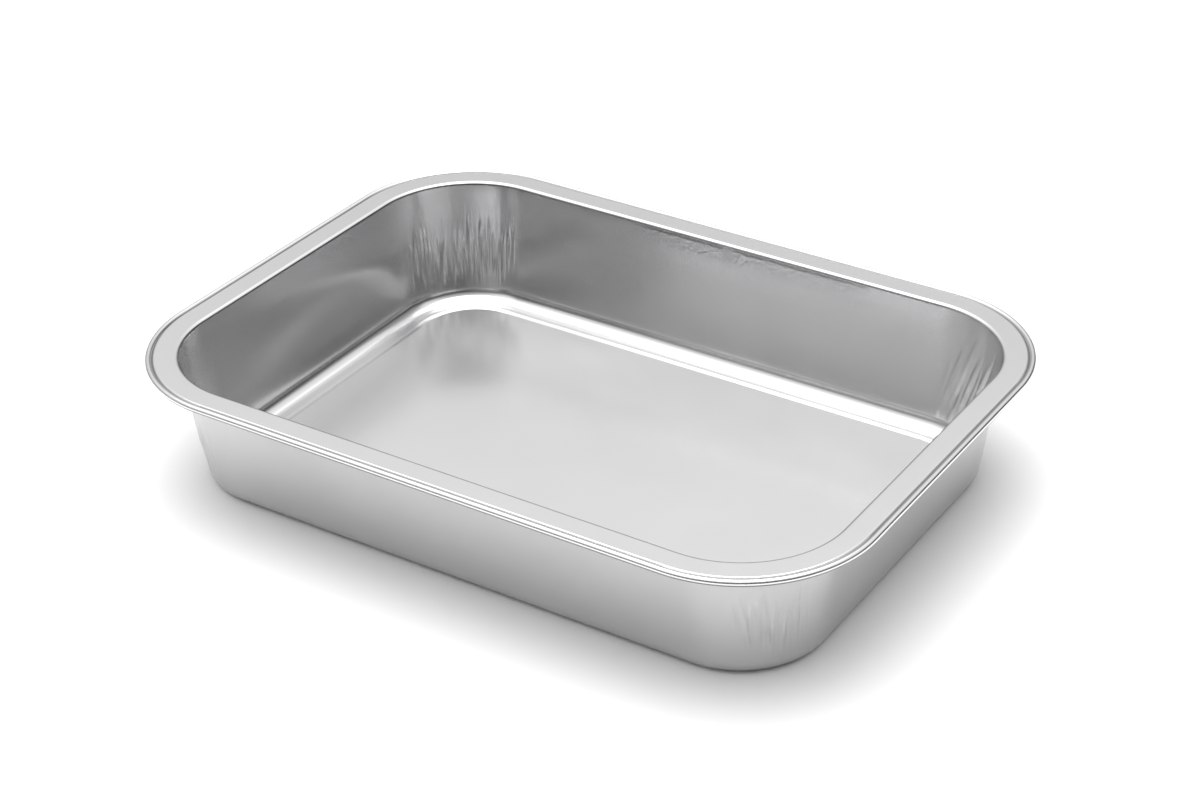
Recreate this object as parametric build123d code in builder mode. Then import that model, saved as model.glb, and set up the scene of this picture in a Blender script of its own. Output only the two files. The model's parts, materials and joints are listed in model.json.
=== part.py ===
from build123d import *
import os
from math import asin, cos, degrees, radians, sin

# Aluminium foil tray, pressed from one sheet: a flat rolled rim, sloping walls with rounded
# corners, a narrow foot all round, and a base panel that stands a little above the foot.
# Millimetres, +Z up. The origin is the middle of the tray on the surface that it stands on,
# +X runs along its length, and every size is of the sheet's upper (inner) face unless it says so.

# The sheet and the tray as a whole
foil_thickness = 0.15
rim_length = 220.0          # outside of the rolled bead, along X
rim_width = 160.0           # outside of the rolled bead, along Y
rim_corner_radius = 38.5    # outside of the rolled bead, and all corner arcs share its centre
flange_height = 38.0        # from the surface that it stands on to the flange's top

# The rim, from the outside in: a hollow rolled bead, a groove, a shoulder and the flat flange
bead_radius = 0.95          # outside of the roll
bead_drop = 0.65            # from the flange's top down to the middle of the roll
roll_angle = 300.0          # how far the sheet is rolled round, in degrees
groove_depth = 0.4          # below the flange's top
groove_radius = 0.2
shoulder_radius = 0.4
flange_width = 5.6          # the flat stretch, where a lid seals

# The wall
wall_bend_radius = 1.0      # from the flange down into the wall
wall_draft = 7.5            # slope of the wall from upright, in degrees
cove_radius = 4.0           # from the wall into the foot

# The bottom, from the outside in: the foot, a step up and the base panel
foot_width = 2.0            # the flat stretch that the tray stands on
step_rise = 0.55
step_slope = 12.0           # in degrees from level
step_bend_radius = 0.3

# Worked out from the sizes above
corner_x = rim_length / 2 - rim_corner_radius
corner_y = rim_width / 2 - rim_corner_radius
wall_turn = 90.0 - wall_draft

# The roll, the groove and the shoulder are arcs that touch: each one's middle lies on a line
# through the point where it meets the next.
groove_rise = bead_drop - groove_depth + groove_radius
groove_meets_roll = degrees(asin(groove_rise / (bead_radius + groove_radius)))
shoulder_fall = shoulder_radius + groove_radius - groove_depth
groove_meets_shoulder = degrees(asin(shoulder_fall / (groove_radius + shoulder_radius)))

# The wall and the step are straight lines between arcs, so they take what the arcs leave.
wall_arcs_height = (wall_bend_radius + cove_radius) * (1 - sin(radians(wall_draft)))
wall_height = flange_height - foil_thickness - wall_arcs_height
wall_length = wall_height / cos(radians(wall_draft))
step_arcs_height = 2 * step_bend_radius * (1 - cos(radians(step_slope)))
step_length = (step_rise - step_arcs_height) / sin(radians(step_slope))


def towards(heading):
    """A unit vector at an angle counter-clockwise from the section's outward direction."""
    return (cos(radians(heading)), sin(radians(heading)))


def foil_section(plane, corner_middle):
    """The sheet's section from the rolled edge in to the base panel, across one side.

    The plane's first direction points outwards and its second upwards. The outside of the bead
    lies at the rim's corner radius from corner_middle. The upper face is drawn, arc by tangent
    arc, and the sheet's thickness lies on its left. Gives the section and the distance at which
    the base panel starts.
    """
    with BuildSketch(plane) as section:
        with BuildLine():
            roll_heading = 270.0 - groove_meets_roll
            roll_start = 180.0 - groove_meets_roll - roll_angle
            bead_middle = Vector(
                corner_middle + rim_corner_radius - bead_radius, flange_height - bead_drop
            )
            roll = JernArc(
                start=bead_middle + Vector(*towards(roll_start)) * bead_radius,
                tangent=towards(roll_heading - roll_angle),
                radius=bead_radius,
                arc_size=roll_angle,
            )
            shoulder_heading = 90.0 + groove_meets_shoulder
            groove = JernArc(roll @ 1, roll % 1, groove_radius, shoulder_heading - roll_heading)
            shoulder = JernArc(groove @ 1, groove % 1, shoulder_radius, 180.0 - shoulder_heading)
            flange = PolarLine(shoulder @ 1, flange_width, direction=shoulder % 1)
            bend = JernArc(flange @ 1, flange % 1, wall_bend_radius, wall_turn)
            wall = PolarLine(bend @ 1, wall_length, direction=bend % 1)
            cove = JernArc(wall @ 1, wall % 1, cove_radius, -wall_turn)
            foot = PolarLine(cove @ 1, foot_width, direction=cove % 1)
            step_foot = JernArc(foot @ 1, foot % 1, step_bend_radius, -step_slope)
            step = PolarLine(step_foot @ 1, step_length, direction=step_foot % 1)
            step_head = JernArc(step @ 1, step % 1, step_bend_radius, step_slope)
            offset(amount=foil_thickness, side=Side.LEFT, closed=True)
        make_face()
    return section.sketch, (step_head @ 1).X


with BuildPart() as tray:
    # A quarter of the tray: half an end, one corner and half a side
    end_section, panel_end = foil_section(Plane.XZ.offset(-corner_y), corner_x)
    extrude(end_section, amount=corner_y, dir=(0, -1, 0))
    corner_axis = Axis((corner_x, corner_y, 0), (0, 0, 1))
    revolve(end_section, axis=corner_axis, revolution_arc=90)
    side_section, panel_side = foil_section(Plane.YZ.offset(corner_x), corner_y)
    extrude(side_section, amount=corner_x, dir=(-1, 0, 0))
    mirror(about=Plane.XZ)
    mirror(about=Plane.YZ)

    # The base panel closes the middle, level with the top of the step
    with BuildSketch(Plane.XY.offset(step_rise)):
        RectangleRounded(2 * panel_end, 2 * panel_side, panel_end - corner_x)
    extrude(amount=foil_thickness)

tray.part.label = "tray"

os.makedirs("parts", exist_ok=True)
export_step(tray.part, "parts/tray.step")
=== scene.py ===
import json
import random
from math import asin, atan2, cos, degrees, exp, pi, radians, sin

import bmesh
import bpy
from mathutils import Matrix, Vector, noise

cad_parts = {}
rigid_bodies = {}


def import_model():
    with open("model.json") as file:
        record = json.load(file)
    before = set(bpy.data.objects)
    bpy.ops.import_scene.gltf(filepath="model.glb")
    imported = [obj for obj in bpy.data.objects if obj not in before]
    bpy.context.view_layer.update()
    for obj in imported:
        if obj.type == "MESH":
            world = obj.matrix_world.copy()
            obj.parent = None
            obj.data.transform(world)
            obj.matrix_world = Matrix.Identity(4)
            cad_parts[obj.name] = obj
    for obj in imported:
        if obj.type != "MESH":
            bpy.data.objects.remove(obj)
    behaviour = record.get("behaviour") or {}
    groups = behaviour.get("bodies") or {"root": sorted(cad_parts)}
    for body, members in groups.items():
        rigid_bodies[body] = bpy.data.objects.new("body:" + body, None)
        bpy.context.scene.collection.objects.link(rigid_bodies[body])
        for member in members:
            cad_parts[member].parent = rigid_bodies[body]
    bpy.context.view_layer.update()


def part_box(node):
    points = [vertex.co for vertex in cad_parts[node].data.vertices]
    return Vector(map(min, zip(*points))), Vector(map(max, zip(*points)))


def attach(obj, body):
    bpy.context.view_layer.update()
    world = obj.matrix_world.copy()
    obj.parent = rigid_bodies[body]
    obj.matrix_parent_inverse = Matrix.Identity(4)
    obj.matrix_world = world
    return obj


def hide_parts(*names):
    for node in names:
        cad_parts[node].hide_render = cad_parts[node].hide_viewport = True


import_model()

MM = 0.001
CREASE_RADIUS = 30.0 * MM       # the arc on which a corner's wrinkles are spaced
QUARTER_SHIFT = 0.3             # sets the quarters apart on their map, so no two look the same

# ---------------------------------------------------------------------------------------------
# Sizes of the tray, in metres. The outside comes from the frame; the section is the tray's own.
# ---------------------------------------------------------------------------------------------

tray_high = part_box("tray")[1]
foil_thickness = 0.15 * MM
rim_corner_radius = 38.5 * MM
bead_radius = 0.95 * MM
bead_drop = 0.65 * MM
roll_angle = 300.0
groove_depth = 0.4 * MM
groove_radius = 0.2 * MM
shoulder_radius = 0.4 * MM
flange_width = 5.6 * MM
flange_in_rim = flange_width / 2    # the rim's strip ends halfway across the flange
wall_bend_radius = 1.0 * MM
wall_draft = 7.5
cove_radius = 4.0 * MM
foot_width = 2.0 * MM
foot_in_wall = foot_width / 4       # the wall's strip ends this far across the foot
step_rise = 0.55 * MM
step_slope = 12.0
step_bend_radius = 0.3 * MM

bead_middle = Vector((tray_high.x - bead_radius, 0.0, tray_high.z - bead_radius))
flange_height = bead_middle.z + bead_drop
corner_x = tray_high.x - rim_corner_radius
corner_y = tray_high.y - rim_corner_radius
wall_turn = 90.0 - wall_draft
groove_rise = bead_drop - groove_depth + groove_radius
groove_meets_roll = degrees(asin(groove_rise / (bead_radius + groove_radius)))
shoulder_fall = shoulder_radius + groove_radius - groove_depth
groove_meets_shoulder = degrees(asin(shoulder_fall / (groove_radius + shoulder_radius)))
wall_arcs_height = (wall_bend_radius + cove_radius) * (1 - sin(radians(wall_draft)))
wall_length = (flange_height - foil_thickness - wall_arcs_height) / cos(radians(wall_draft))
step_arcs_height = 2 * step_bend_radius * (1 - cos(radians(step_slope)))
step_length = (step_rise - step_arcs_height) / sin(radians(step_slope))

# Three strips of the foil, each divided along half an end, round a corner and along half a side
RIM_STEPS = (8, 36, 12)
WALL_STEPS = (14, 216, 22)
BASE_STEPS = (8, 36, 12)

# Steps along each stretch of the section
ROLL_STEPS = 20
GROOVE_STEPS = 6
SHOULDER_STEPS = 4
WALL_BEND_STEPS = 5
WALL_LINE_STEPS = 18
COVE_STEPS = 7
STEP_BEND_STEPS = 2
PANEL_EDGE_STEPS = 4

# The material slots: the bright side is the first
# The second slot is the matt side: rougher, and darker partly by painted shade
MATT_AND_SHADED_SIDE = 1
# The third slot is painted shade: a dark copy of the foil for the groove and the bead's underside
PAINTED_SHADE_SLOT = 2

STRIP_GAP = 1.0 * MM        # between two strips, until they are bridged
NEAR = 0.01 * MM            # points closer than this are one
EDGE_ROW = 0.2 * MM         # a narrow row beside a bend, which keeps the flat next to it flat


# ---------------------------------------------------------------------------------------------
# Forming the foil
# ---------------------------------------------------------------------------------------------

def deselect_all():
    """Clears the selection that loading the frame leaves."""
    for thing in bpy.context.view_layer.objects.selected[:]:
        thing.select_set(False)


def select_only(*things):
    deselect_all()
    for thing in things:
        thing.select_set(True)
    bpy.context.view_layer.objects.active = things[0]


class Section:
    """A strip's section across an end of the tray, drawn as a chain of edges from one point."""

    def __init__(self, name, x, z, heading):
        deselect_all()
        bpy.ops.mesh.primitive_plane_add(size=1 * MM, location=(0, 0, 0))
        self.strip = bpy.context.object
        self.strip.name = self.strip.data.name = name
        self.place = Vector((x, 0.0, z))
        self.heading = heading
        bpy.ops.object.mode_set(mode="EDIT")
        bpy.ops.mesh.select_all(action="SELECT")
        bpy.ops.mesh.merge(type="CENTER")
        bpy.ops.transform.translate(value=self.place)

    def towards(self, angle):
        return Vector((cos(radians(angle)), 0.0, sin(radians(angle))))

    def arc(self, radius, turn, steps):
        """A tangent arc, which turns left of the heading when turn is positive."""
        side = 90.0 if turn > 0 else -90.0
        middle = self.place + self.towards(self.heading + side) * radius
        bpy.ops.mesh.spin(steps=steps, angle=radians(-turn), center=middle, axis=(0.0, -1.0, 0.0))
        self.heading += turn
        self.place = middle + self.towards(self.heading - side) * radius

    def line(self, length, steps):
        stride = self.towards(self.heading) * (length / steps)
        extrude_in_steps(stride * steps, steps)
        self.place = self.place + stride * steps

    def sweep(self, steps):
        """Carries the section along half an end, round one corner and along half a side."""
        end_steps, corner_steps, side_steps = steps
        bpy.ops.mesh.select_all(action="SELECT")
        extrude_in_steps(Vector((0.0, corner_y, 0.0)), end_steps)
        bpy.ops.mesh.spin(
            steps=corner_steps,
            angle=radians(-90.0),
            center=(corner_x, corner_y, 0.0),
            axis=(0.0, 0.0, 1.0),
        )
        extrude_in_steps(Vector((-corner_x, 0.0, 0.0)), side_steps)


def extrude_in_steps(way, steps):
    for _ in range(steps):
        bpy.ops.mesh.extrude_region_move(TRANSFORM_OT_translate={"value": way / steps})


def select_edges(thing, wanted):
    """Selects the edges that pass a test, in the mesh that is open for editing."""
    bpy.ops.mesh.select_mode(type="EDGE")
    bpy.ops.mesh.select_all(action="DESELECT")
    mesh = bmesh.from_edit_mesh(thing.data)
    for edge in mesh.edges:
        if wanted(edge):
            edge.select_set(True)
    bmesh.update_edit_mesh(thing.data)


def form_rim():
    """The rolled bead, the groove, the shoulder and the outer part of the flange."""
    first = 180.0 - groove_meets_roll - roll_angle
    start_x = bead_middle.x + bead_radius * cos(radians(first))
    start_z = bead_middle.z + bead_radius * sin(radians(first))
    section = Section("rim", start_x, start_z, first + 90.0)
    section.arc(bead_radius, roll_angle, ROLL_STEPS)
    section.arc(groove_radius, groove_meets_roll + groove_meets_shoulder - 180.0, GROOVE_STEPS)
    section.arc(shoulder_radius, 90.0 - groove_meets_shoulder, SHOULDER_STEPS)
    section.line(EDGE_ROW, 1)
    section.line(flange_in_rim - EDGE_ROW, 1)
    section.sweep(RIM_STEPS)
    bpy.ops.object.mode_set(mode="OBJECT")
    return section


def form_wall(rim):
    """The inner part of the flange, the wall, the cove and the outer part of the foot."""
    section = Section("wall", rim.place.x - STRIP_GAP, flange_height, 180.0)
    section.line(flange_width - flange_in_rim - STRIP_GAP - EDGE_ROW, 1)
    section.line(EDGE_ROW, 1)
    section.arc(wall_bend_radius, wall_turn, WALL_BEND_STEPS)
    section.line(EDGE_ROW, 1)
    section.line(wall_length - EDGE_ROW * 2, WALL_LINE_STEPS)
    section.line(EDGE_ROW, 1)
    section.arc(cove_radius, -wall_turn, COVE_STEPS)
    section.line(foot_in_wall, 1)
    section.sweep(WALL_STEPS)
    bpy.ops.object.mode_set(mode="OBJECT")
    return section


def form_base(wall):
    """The inner part of the foot, the step and the base panel."""
    section = Section("base", wall.place.x - STRIP_GAP, foil_thickness, 180.0)
    section.line(foot_width - foot_in_wall - STRIP_GAP - EDGE_ROW, 1)
    section.line(EDGE_ROW, 1)
    section.arc(step_bend_radius, -step_slope, STEP_BEND_STEPS)
    section.line(EDGE_ROW, 1)
    section.line(step_length - EDGE_ROW * 2, 1)
    section.line(EDGE_ROW, 1)
    section.arc(step_bend_radius, step_slope, STEP_BEND_STEPS)
    panel_reach = section.place.x - corner_x
    section.line(EDGE_ROW, 1)
    section.line(panel_reach - EDGE_ROW, PANEL_EDGE_STEPS)
    section.sweep(BASE_STEPS)
    bpy.ops.mesh.select_all(action="SELECT")
    bpy.ops.mesh.remove_doubles(threshold=NEAR)

    def ends_the_panel(edge):
        return edge.is_boundary and all(
            abs(v.co.x - corner_x) < NEAR and v.co.y < corner_y + NEAR for v in edge.verts
        )

    select_edges(section.strip, ends_the_panel)
    extrude_in_steps(Vector((-corner_x, 0.0, 0.0)), BASE_STEPS[2])
    bpy.ops.mesh.select_all(action="SELECT")
    bpy.ops.mesh.remove_doubles(threshold=NEAR)
    bpy.ops.object.mode_set(mode="OBJECT")
    return section, panel_reach


def bridge_strips(foil, height):
    """Closes the gap that is left between two strips on the flat stretch at that height."""
    near = NEAR / 2

    def lines_the_gap(edge):
        first, second = (v.co for v in edge.verts)
        return (
            edge.is_boundary
            and abs(first.z - height) < near
            and abs(second.z - height) < near
            and max(abs(first.x), abs(second.x)) > near
            and max(abs(first.y), abs(second.y)) > near
        )

    select_edges(foil, lines_the_gap)
    bpy.ops.mesh.bridge_edge_loops()


def form_tray():
    """The whole tray as one sheet with no thickness, its faces towards the inside and up."""
    rim = form_rim()
    wall = form_wall(rim)
    base, panel_reach = form_base(wall)
    select_only(rim.strip, wall.strip, base.strip)
    bpy.ops.object.join()
    foil = rim.strip
    foil.name = foil.data.name = "foil_tray"
    bpy.ops.object.mode_set(mode="EDIT")
    bridge_strips(foil, flange_height)
    bridge_strips(foil, foil_thickness)
    bpy.ops.object.mode_set(mode="OBJECT")
    mirror = foil.modifiers.new("other three quarters", "MIRROR")
    mirror.use_axis = (True, True, False)
    mirror.merge_threshold = NEAR
    bpy.ops.object.modifier_apply(modifier=mirror.name)
    bpy.ops.object.mode_set(mode="EDIT")
    bpy.ops.mesh.select_mode(type="VERT")
    bpy.ops.mesh.select_all(action="SELECT")
    bpy.ops.mesh.remove_doubles(threshold=NEAR)
    bpy.ops.mesh.normals_make_consistent(inside=False)
    bpy.ops.object.mode_set(mode="OBJECT")
    panel = min(foil.data.polygons, key=lambda face: face.center.length)
    if panel.normal.z < 0:
        bpy.ops.object.mode_set(mode="EDIT")
        bpy.ops.mesh.flip_normals()
        bpy.ops.object.mode_set(mode="OBJECT")
    return foil, panel_reach


def nearest_inside(point):
    """The nearest point, seen from above, of the rectangle between the four corners' middles."""
    x = min(max(point.x, -corner_x), corner_x)
    y = min(max(point.y, -corner_y), corner_y)
    return Vector((x, y, 0.0))


def way_out(point):
    """The level direction from inside to that point, and how far out of the rectangle it is."""
    way = Vector((point.x, point.y, 0.0)) - nearest_inside(point)
    distance = way.length
    if distance < NEAR:
        return Vector((0.0, 0.0, 0.0)), 0.0
    return way / distance, distance


def corner_turn(point):
    """How far round its corner a point lies, in degrees: 0 at the end's side, 90 at the long side."""
    turn = atan2(abs(point.y) - corner_y, abs(point.x) - corner_x)
    return min(max(degrees(turn), 0.0), 90.0)


def map_sheet(foil):
    """Two UV maps in metres: the sheet before it was pressed, and the way round and up the wall."""
    flat = foil.data.uv_layers.new(name="flat_sheet")
    around = foil.data.uv_layers.new(name="round_the_wall")
    for loop in foil.data.loops:
        point = foil.data.vertices[loop.vertex_index].co
        way, distance = way_out(point)
        place = nearest_inside(point) + way * (distance + point.z)
        flat.data[loop.index].uv = (place.x, place.y)
        turned = radians(corner_turn(point)) * CREASE_RADIUS
        reach = min(abs(point.x), corner_x) - min(abs(point.y), corner_y)
        quarter = QUARTER_SHIFT * ((point.x > 0) + 2 * (point.y > 0))
        around.data[loop.index].uv = (quarter + turned - reach, point.z)


# ---------------------------------------------------------------------------------------------
# Wrinkles that pressing leaves in the corners, and slow waves in the broad faces
# ---------------------------------------------------------------------------------------------

def smooth(low, high, value):
    """0 at low, 1 at high and an even curve between them. Low may be above high."""
    share = min(max((value - low) / (high - low), 0.0), 1.0)
    return share * share * (3.0 - 2.0 * share)


WRINKLE_REACH = 8.0 * MM        # a wrinkle moves nothing further than this to its side
WRINKLE_TAIL = 1.8              # it ends at this many half heights from its middle
WRINKLE_SKIRT = 3.0             # and at this many half widths from its line
WRINKLE_SWAY = 0.5 * MM         # how far its line wanders
SWAY_WAVES = 90.0               # waves of that wandering in a metre
BREAK_STRENGTH = 0.8            # how unevenly deep it is
BREAK_WAVES = 280.0             # waves of that in a metre
FADE_TURN = 12.0                # the degrees in which a corner's wrinkles grow from its ends
FADED_SHARE = 0.4               # the share of their depth that is left at its ends


class Wrinkle:
    """A fine crease that runs up the wall in a corner."""

    def __init__(self, dice, turn, strength, lean, coarseness):
        self.turn = turn
        self.depth = strength * dice.uniform(0.35, 1.0) * MM * dice.choice((-1.0, 1.0))
        self.half_width = coarseness * dice.uniform(0.24, 0.5) * MM
        self.middle = dice.uniform(12.0, 19.5) * MM
        self.half_height = coarseness * dice.uniform(3.5, 8.0) * MM
        self.lean = lean + dice.uniform(-0.07, 0.07)
        self.sway = dice.uniform(0.0, 10.0)

    def depth_at(self, along, height):
        """How far it moves the wall at a place, along the arc from its foot and up."""
        up = (height - self.middle) / self.half_height
        if abs(up) > WRINKLE_TAIL:
            return 0.0
        sway = WRINKLE_SWAY * noise.noise(Vector((self.sway, height * SWAY_WAVES, 0.0)))
        across = (along - self.lean * (height - self.middle) - sway) / self.half_width
        if abs(across) > WRINKLE_SKIRT:
            return 0.0
        unevenness = noise.noise(Vector((self.sway, height * BREAK_WAVES, 5.0)))
        broken = 1.0 + BREAK_STRENGTH * unevenness
        return self.depth * broken * exp(-across * across) * exp(-up ** 4)


def crease_corner(seed, strength, lean, first, last, coarseness=1.0):
    """A corner's wrinkles, unevenly spaced from its first to its last direction, in degrees."""
    dice = random.Random(seed)
    wrinkles = []
    turn = first
    while turn < last:
        grown = min(1.0, (turn - first) / FADE_TURN, (last - turn) / FADE_TURN)
        faded = FADED_SHARE + (1.0 - FADED_SHARE) * grown
        wrinkles.append(Wrinkle(dice, turn, strength * faded, lean, coarseness))
        turn += coarseness * dice.uniform(1.5, 3.4)
    return wrinkles


# Keyed by the way in which the corner lies, (x, y)
CORNER_WRINKLES = {
    (-1, 1): crease_corner(seed=11, strength=0.55, lean=0.02, first=8.0, last=86.0),
    (1, 1): crease_corner(seed=23, strength=0.60, lean=-0.35, first=40.0, last=86.0, coarseness=1.5),
    (-1, -1): crease_corner(seed=37, strength=0.25, lean=0.05, first=20.0, last=75.0),
    (1, -1): crease_corner(seed=41, strength=0.34, lean=0.15, first=22.0, last=66.0, coarseness=1.2),
}

# Shallow dents in the straight walls: middle, half length, half height, depth outwards
WALL_DENTS = (
    ((-0.098, 0.012, 0.0130), 30.0 * MM, 8.5 * MM, 0.60 * MM),
    ((-0.098, -0.030, 0.0200), 20.0 * MM, 9.0 * MM, -0.12 * MM),
    ((-0.032, 0.068, 0.0190), 1.6 * MM, 5.0 * MM, 0.10 * MM),
    ((-0.048, 0.067, 0.0110), 9.0 * MM, 5.0 * MM, -0.12 * MM),
    ((0.0465, 0.069, 0.0200), 0.9 * MM, 5.5 * MM, 0.11 * MM),
)
DENT_SKIRT = 3.0                # a dent ends at this many half lengths from its middle
DENT_MARGIN = 4.0 * MM          # and this much more
DENT_FLATNESS = 1.6             # above 1, its floor is flatter and its side steeper


def dent_depth(point):
    """How far the dents near it move a point of a straight wall."""
    depth = 0.0
    for middle, half_length, half_height, most in WALL_DENTS:
        offset = point - Vector(middle)
        if max(abs(offset.x), abs(offset.y)) > DENT_SKIRT * half_length + DENT_MARGIN:
            continue
        on_an_end = abs(middle[0]) > abs(middle[1])
        along = (offset.y if on_an_end else offset.x) / half_length
        up = offset.z / half_height
        depth += most * exp(-(along * along + up * up) ** DENT_FLATNESS)
    return depth


def wrinkle_depth(point):
    """How far the wrinkles of its corner move a point of the wall."""
    if abs(point.x) < corner_x or abs(point.y) < corner_y:
        return 0.0
    corner = (1 if point.x > 0 else -1, 1 if point.y > 0 else -1)
    turn = corner_turn(point)
    depth = 0.0
    for wrinkle in CORNER_WRINKLES[corner]:
        along = radians(turn - wrinkle.turn) * CREASE_RADIUS
        if abs(along) < WRINKLE_REACH:
            depth += wrinkle.depth_at(along, point.z)
    return depth


def wave(point, depth, length, seed):
    """An even, slow noise with waves of about that depth and length."""
    return depth * noise.noise(point / length + Vector((seed, 0.0, 0.0)))


WALL_SLOW_WAVE = (0.28 * MM, 52.0 * MM, 3.0)     # depth, length and seed
WALL_QUICK_WAVE = (0.05 * MM, 13.0 * MM, 8.0)
PANEL_WAVE = (0.10 * MM, 45.0 * MM, 5.0)
COVE_HELD = 0.8                 # the share of the cove's radius, from the foot up, that stays put
WALL_FREE_FROM = 7.5 * MM       # the heights between which the wall moves freely
WALL_FREE_TO = 30.0 * MM
PANEL_HELD = 9.0 * MM           # the panel moves freely this far in from the step


def age_by_hand(foil, panel_reach):
    """Moves the foil's points in and out, as pressing, stacking and handling leave it."""
    wall_foot = foil_thickness + cove_radius * COVE_HELD
    wall_head = flange_height - wall_bend_radius
    panel_height = foil_thickness + step_rise
    for point in foil.data.vertices:
        spot = point.co.copy()
        way, distance = way_out(spot)
        if wall_foot < spot.z < wall_head:
            near_foot = smooth(wall_foot, WALL_FREE_FROM, spot.z)
            near_head = smooth(wall_head, WALL_FREE_TO, spot.z)
            freedom = near_foot * near_head
            waves = wave(spot, *WALL_SLOW_WAVE) + wave(spot, *WALL_QUICK_WAVE)
            moved = waves + wrinkle_depth(spot) + dent_depth(spot)
            point.co += way * freedom * moved
        elif abs(spot.z - panel_height) < NEAR * 2:
            freedom = smooth(panel_reach, panel_reach - PANEL_HELD, distance)
            point.co.z += freedom * wave(spot, *PANEL_WAVE)


SHADED_GROOVE_REACH = 0.17 * MM   # how far from its middle the groove gets painted shade
SHADED_GROOVE_HEIGHT = 0.12 * MM  # and how far up from its bottom
UNDERSIDE_SLOPE = -0.12         # a face of the bead is under it if its normal's z is below this


def paint_shade_on_bead(foil):
    """Paints shade into the groove and onto the bead's underside, as a dark material of their own."""
    groove_bottom = flange_height - groove_depth
    groove_out = (bead_radius + groove_radius) * cos(radians(groove_meets_roll))
    groove_reach = bead_middle.x - corner_x - groove_out
    for face in foil.data.polygons:
        reach = way_out(face.center)[1]
        across = abs(reach - groove_reach)
        above = abs(face.center.z - groove_bottom)
        in_groove = across < SHADED_GROOVE_REACH and above < SHADED_GROOVE_HEIGHT
        under_bead = reach > groove_reach and face.normal.z < UNDERSIDE_SLOPE
        if in_groove or under_bead:
            face.material_index = PAINTED_SHADE_SLOT


SHARPEST_BEND = 60.0            # in degrees: a sharper edge is shaded as an edge


def thicken(foil):
    """Gives the sheet its thickness, below and outside the face that has been drawn."""
    select_only(foil)
    wall = foil.modifiers.new("foil thickness", "SOLIDIFY")
    wall.thickness = foil_thickness
    wall.offset = -1.0
    wall.use_even_offset = False
    wall.material_offset = MATT_AND_SHADED_SIDE
    bpy.ops.object.modifier_apply(modifier=wall.name)
    bpy.ops.object.shade_smooth_by_angle(angle=radians(SHARPEST_BEND))


# ---------------------------------------------------------------------------------------------
# Shader building
# ---------------------------------------------------------------------------------------------

class Link:
    """A shader socket. Python's operators on it add Math nodes."""

    def __init__(self, shader, socket):
        self.shader = shader
        self.socket = socket

    def math(self, operation, *values):
        return self.shader.add("ShaderNodeMath", {"operation": operation}, dict(enumerate(values)))

    def __add__(self, other):
        return self.math("ADD", self, other)

    def __radd__(self, other):
        return self.math("ADD", other, self)

    def __rsub__(self, other):
        return self.math("SUBTRACT", other, self)

    def __mul__(self, other):
        return self.math("MULTIPLY", self, other)

    def __rmul__(self, other):
        return self.math("MULTIPLY", other, self)

    def absolute(self):
        return self.math("ABSOLUTE", self)

    def over(self, low, high):
        """0 at low and 1 at high, with an even curve between them."""
        settings = {"interpolation_type": "SMOOTHSTEP"}
        values = {"Value": self, "From Min": low, "From Max": high}
        return self.shader.add("ShaderNodeMapRange", settings, values)


class Shader:
    """The nodes of a material or a world. One method adds all but the output."""

    def __init__(self, block):
        block.use_nodes = True
        self.tree = block.node_tree
        self.tree.nodes.clear()

    def add(self, kind, settings=None, inputs=None, output=0):
        node = self.tree.nodes.new(kind)
        for name, value in (settings or {}).items():
            setattr(node, name, value)
        for name, value in (inputs or {}).items():
            if isinstance(value, Link):
                self.tree.links.new(value.socket, node.inputs[name])
            else:
                node.inputs[name].default_value = value
        return Link(self, node.outputs[output])

    def principled(self, **inputs):
        named = {name.replace("_", " ").title(): value for name, value in inputs.items()}
        surface = self.add("ShaderNodeBsdfPrincipled", None, named)
        self.show(surface, "ShaderNodeOutputMaterial")

    def axes(self, vector):
        """The x, y and z of a vector."""
        split = self.add("ShaderNodeSeparateXYZ", None, {"Vector": vector})
        return [Link(self, socket) for socket in split.socket.node.outputs]

    def stretch(self, vector, scale):
        return self.add("ShaderNodeMapping", None, {"Vector": vector, "Scale": scale})

    def clouds(self, vector, scale=1.0, detail=3.0):
        inputs = {"Vector": vector, "Scale": scale, "Detail": detail}
        return self.add("ShaderNodeTexNoise", None, inputs)

    def show(self, surface, kind):
        output = self.tree.nodes.new(kind)
        self.tree.links.new(surface.socket, output.inputs["Surface"])


# How many features each pattern has in a metre, along and across its map where it is stretched
GRAIN_SCALE = (60.0, 2200.0, 1.0)
STREAK_SCALE = (900.0, 45.0, 1.0)
PATCH_SCALE = 38.0
SPECKLE_SCALE = 1500.0
RUB_SCALE = 800.0

# Where the patterns fade in and out, each from nothing to full
STREAKS_PAST_CORNER = 5.0 * MM
STREAKS_FROM_FOOT = (4.0 * MM, 9.0 * MM)
STREAKS_FROM_HEAD = (37.0 * MM, 30.0 * MM)
RUB_FROM_BELOW = (31.0 * MM, 32.5 * MM)
RUB_FROM_ABOVE = (37.0 * MM, 36.0 * MM)
RUB_FROM_MIDDLE = (66.0 * MM, 68.0 * MM)
RUB_FROM_LEFT = (-34.0 * MM, -20.0 * MM)
RUB_FROM_RIGHT = (52.0 * MM, 40.0 * MM)

# How much each pattern adds to the relief, the dullness and the brightness
GRAIN_RELIEF = 0.35
SPECKLE_RELIEF = 0.25
STREAK_RELIEF = 3.0
RUB_RELIEF = 9.0
RELIEF_STRENGTH = 0.10
RELIEF_DEPTH = 0.2 * MM
PATCH_DULLNESS = 0.06
GRAIN_DULLNESS = 0.04
PATCH_BRIGHTNESS = 0.03
COLDNESS = 0.004                # how much bluer than grey it is


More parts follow.
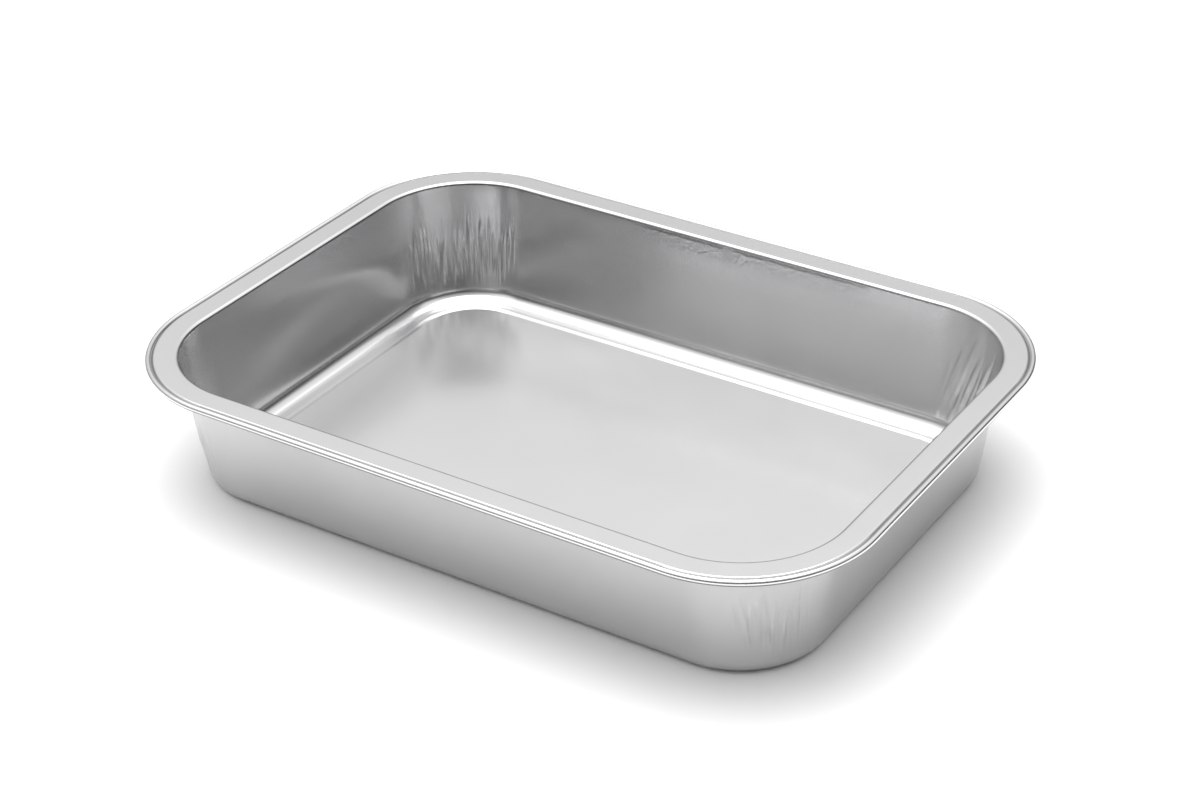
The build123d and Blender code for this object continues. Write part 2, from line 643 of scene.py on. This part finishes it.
def rolled_foil(name, brightness, dullness):
    """One side of aluminium foil: rolling grain along the tray, cloudy patches, drawn corners."""
    material = bpy.data.materials.new(name)
    shader = Shader(material)
    sheet = shader.add("ShaderNodeUVMap", {"uv_map": "flat_sheet"})
    grain = shader.clouds(shader.stretch(sheet, GRAIN_SCALE))
    patches = shader.clouds(sheet, PATCH_SCALE)
    speckle = shader.clouds(sheet, SPECKLE_SCALE, detail=2.0)

    # Fine upright streaks where the corners were drawn in
    wall = shader.add("ShaderNodeUVMap", {"uv_map": "round_the_wall"})
    streaks = shader.clouds(shader.stretch(wall, STREAK_SCALE))
    x, y, z = shader.axes(shader.add("ShaderNodeTexCoord", output="Object"))
    past_end = x.absolute().over(corner_x, corner_x + STREAKS_PAST_CORNER)
    past_side = y.absolute().over(corner_y, corner_y + STREAKS_PAST_CORNER)
    in_corner = past_end * past_side * (z.over(*STREAKS_FROM_FOOT) * z.over(*STREAKS_FROM_HEAD))

    # A rubbed stretch along the top of the back wall
    rub = shader.clouds(wall, RUB_SCALE)
    along_the_top = z.over(*RUB_FROM_BELOW) * z.over(*RUB_FROM_ABOVE)
    at_the_back = y.over(*RUB_FROM_MIDDLE) * x.over(*RUB_FROM_LEFT) * x.over(*RUB_FROM_RIGHT)
    rubbed = rub * along_the_top * at_the_back

    fine = grain * GRAIN_RELIEF + speckle * SPECKLE_RELIEF
    height = fine + streaks * in_corner * STREAK_RELIEF + rubbed * RUB_RELIEF
    bump = {"Height": height, "Strength": RELIEF_STRENGTH, "Distance": RELIEF_DEPTH}
    relief = shader.add("ShaderNodeBump", None, bump)
    shade = brightness + PATCH_BRIGHTNESS * patches
    channels = {"Red": shade, "Green": shade, "Blue": shade + COLDNESS}
    colour = shader.add("ShaderNodeCombineColor", None, channels)
    roughness = dullness + PATCH_DULLNESS * patches + GRAIN_DULLNESS * grain
    shader.principled(base_color=colour, metallic=1.0, roughness=roughness, normal=relief)
    return material


def white_card():
    material = bpy.data.materials.new("white card")
    Shader(material).principled(base_color=(0.93, 0.93, 0.93, 1.0), roughness=0.9)
    return material


# ---------------------------------------------------------------------------------------------
# Building the scene
# ---------------------------------------------------------------------------------------------

foil_tray, panel_reach = form_tray()
map_sheet(foil_tray)
bright_side = rolled_foil("bright side of the foil", brightness=0.715, dullness=0.15)
# The matt side is rougher than the bright side; its darker colour is partly painted shade
matt_and_shaded_side = rolled_foil("matt and shaded side of the foil", brightness=0.53, dullness=0.24)
# Painted shade: a dark copy of the foil for the groove and the bead's underside
bead_shade_foil = rolled_foil("foil with painted shade in the groove and under the bead", brightness=0.22, dullness=0.28)
foil_tray.data.materials.clear()
for material in (bright_side, matt_and_shaded_side, bead_shade_foil):
    foil_tray.data.materials.append(material)
paint_shade_on_bead(foil_tray)
age_by_hand(foil_tray, panel_reach)
thicken(foil_tray)
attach(foil_tray, "root")
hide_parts("tray")

FLOOR_SIZE = 8.0

deselect_all()
bpy.ops.mesh.primitive_plane_add(size=FLOOR_SIZE, location=(0.0, 0.0, 0.0))
floor = bpy.context.object
floor.name = floor.data.name = "floor"
floor.data.materials.append(white_card())


def soft_light(name, azimuth, elevation, distance, size, radiance):
    """A round soft box that faces the tray from a direction, as bright as its radiance."""
    turn, rise = radians(azimuth), radians(elevation)
    place = Vector((sin(turn) * cos(rise), -cos(turn) * cos(rise), sin(rise))) * distance
    bpy.ops.object.light_add(type="AREA", location=place)
    light = bpy.context.object
    light.name = light.data.name = name
    light.rotation_euler = place.to_track_quat("Z", "Y").to_euler()
    light.data.shape = "DISK"
    light.data.size = size
    light.data.energy = radiance * pi * pi * (size / 2) ** 2


# The room, by the x, y and z of the direction in which one looks. A fade is 0 at its first number
# and 1 at its second. A way is level, with its x and y.
ROOM_FADE = (0.22, 0.66)
FRONT_WAY = (0.71, -0.71)
FRONT_FADE = (0.35, 0.8)
FRONT_DIMMING = 0.5
LEFT_WAY = (-0.97, 0.26)
LEFT_FADE = (-0.3, 0.9)
LEFT_LOW_FADE = (0.66, 0.35)
LEFT_LOW_STRENGTH = 0.42
LEFT_HIGH_FADE = (0.6, 0.85)
LEFT_HIGH_STRENGTH = 1.4


def studio_room():
    """A room that brightens upwards, most behind the tray's left end and least in front."""
    world = bpy.data.worlds.new("studio")
    bpy.context.scene.world = world
    shader = Shader(world)
    x, y, z = shader.axes(shader.add("ShaderNodeTexCoord", output="Generated"))
    front = (FRONT_WAY[0] * x + FRONT_WAY[1] * y).over(*FRONT_FADE)
    left = (LEFT_WAY[0] * x + LEFT_WAY[1] * y).over(*LEFT_FADE)
    low = LEFT_LOW_STRENGTH * z.over(*LEFT_LOW_FADE)
    high = LEFT_HIGH_STRENGTH * z.over(*LEFT_HIGH_FADE)
    all_round = z.over(*ROOM_FADE) * (1.0 - FRONT_DIMMING * front)
    inputs = {"Color": (1.0, 1.0, 1.0, 1.0), "Strength": all_round + left * (low + high)}
    light = shader.add("ShaderNodeBackground", None, inputs)
    shader.show(light, "ShaderNodeOutputWorld")


soft_light("overhead soft box", azimuth=0.0, elevation=90.0, distance=1.5, size=1.74, radiance=2.5)
studio_room()

AIM = Vector((0.0129, 0.0471, 0.0))
CAMERA_AZIMUTH = radians(30.765)
CAMERA_ELEVATION = radians(31.211)
CAMERA_DISTANCE = 0.7359
level = cos(CAMERA_ELEVATION)
back = Vector((sin(CAMERA_AZIMUTH) * level, -cos(CAMERA_AZIMUTH) * level, sin(CAMERA_ELEVATION)))
bpy.ops.object.camera_add(location=AIM + back * CAMERA_DISTANCE)
camera = bpy.context.object
camera.rotation_euler = back.to_track_quat("Z", "Y").to_euler()
camera.data.sensor_width = 36.0
camera.data.lens = 75.69
camera.data.shift_x = -0.1
bpy.context.scene.camera = camera
bpy.context.scene.view_settings.view_transform = "Standard"
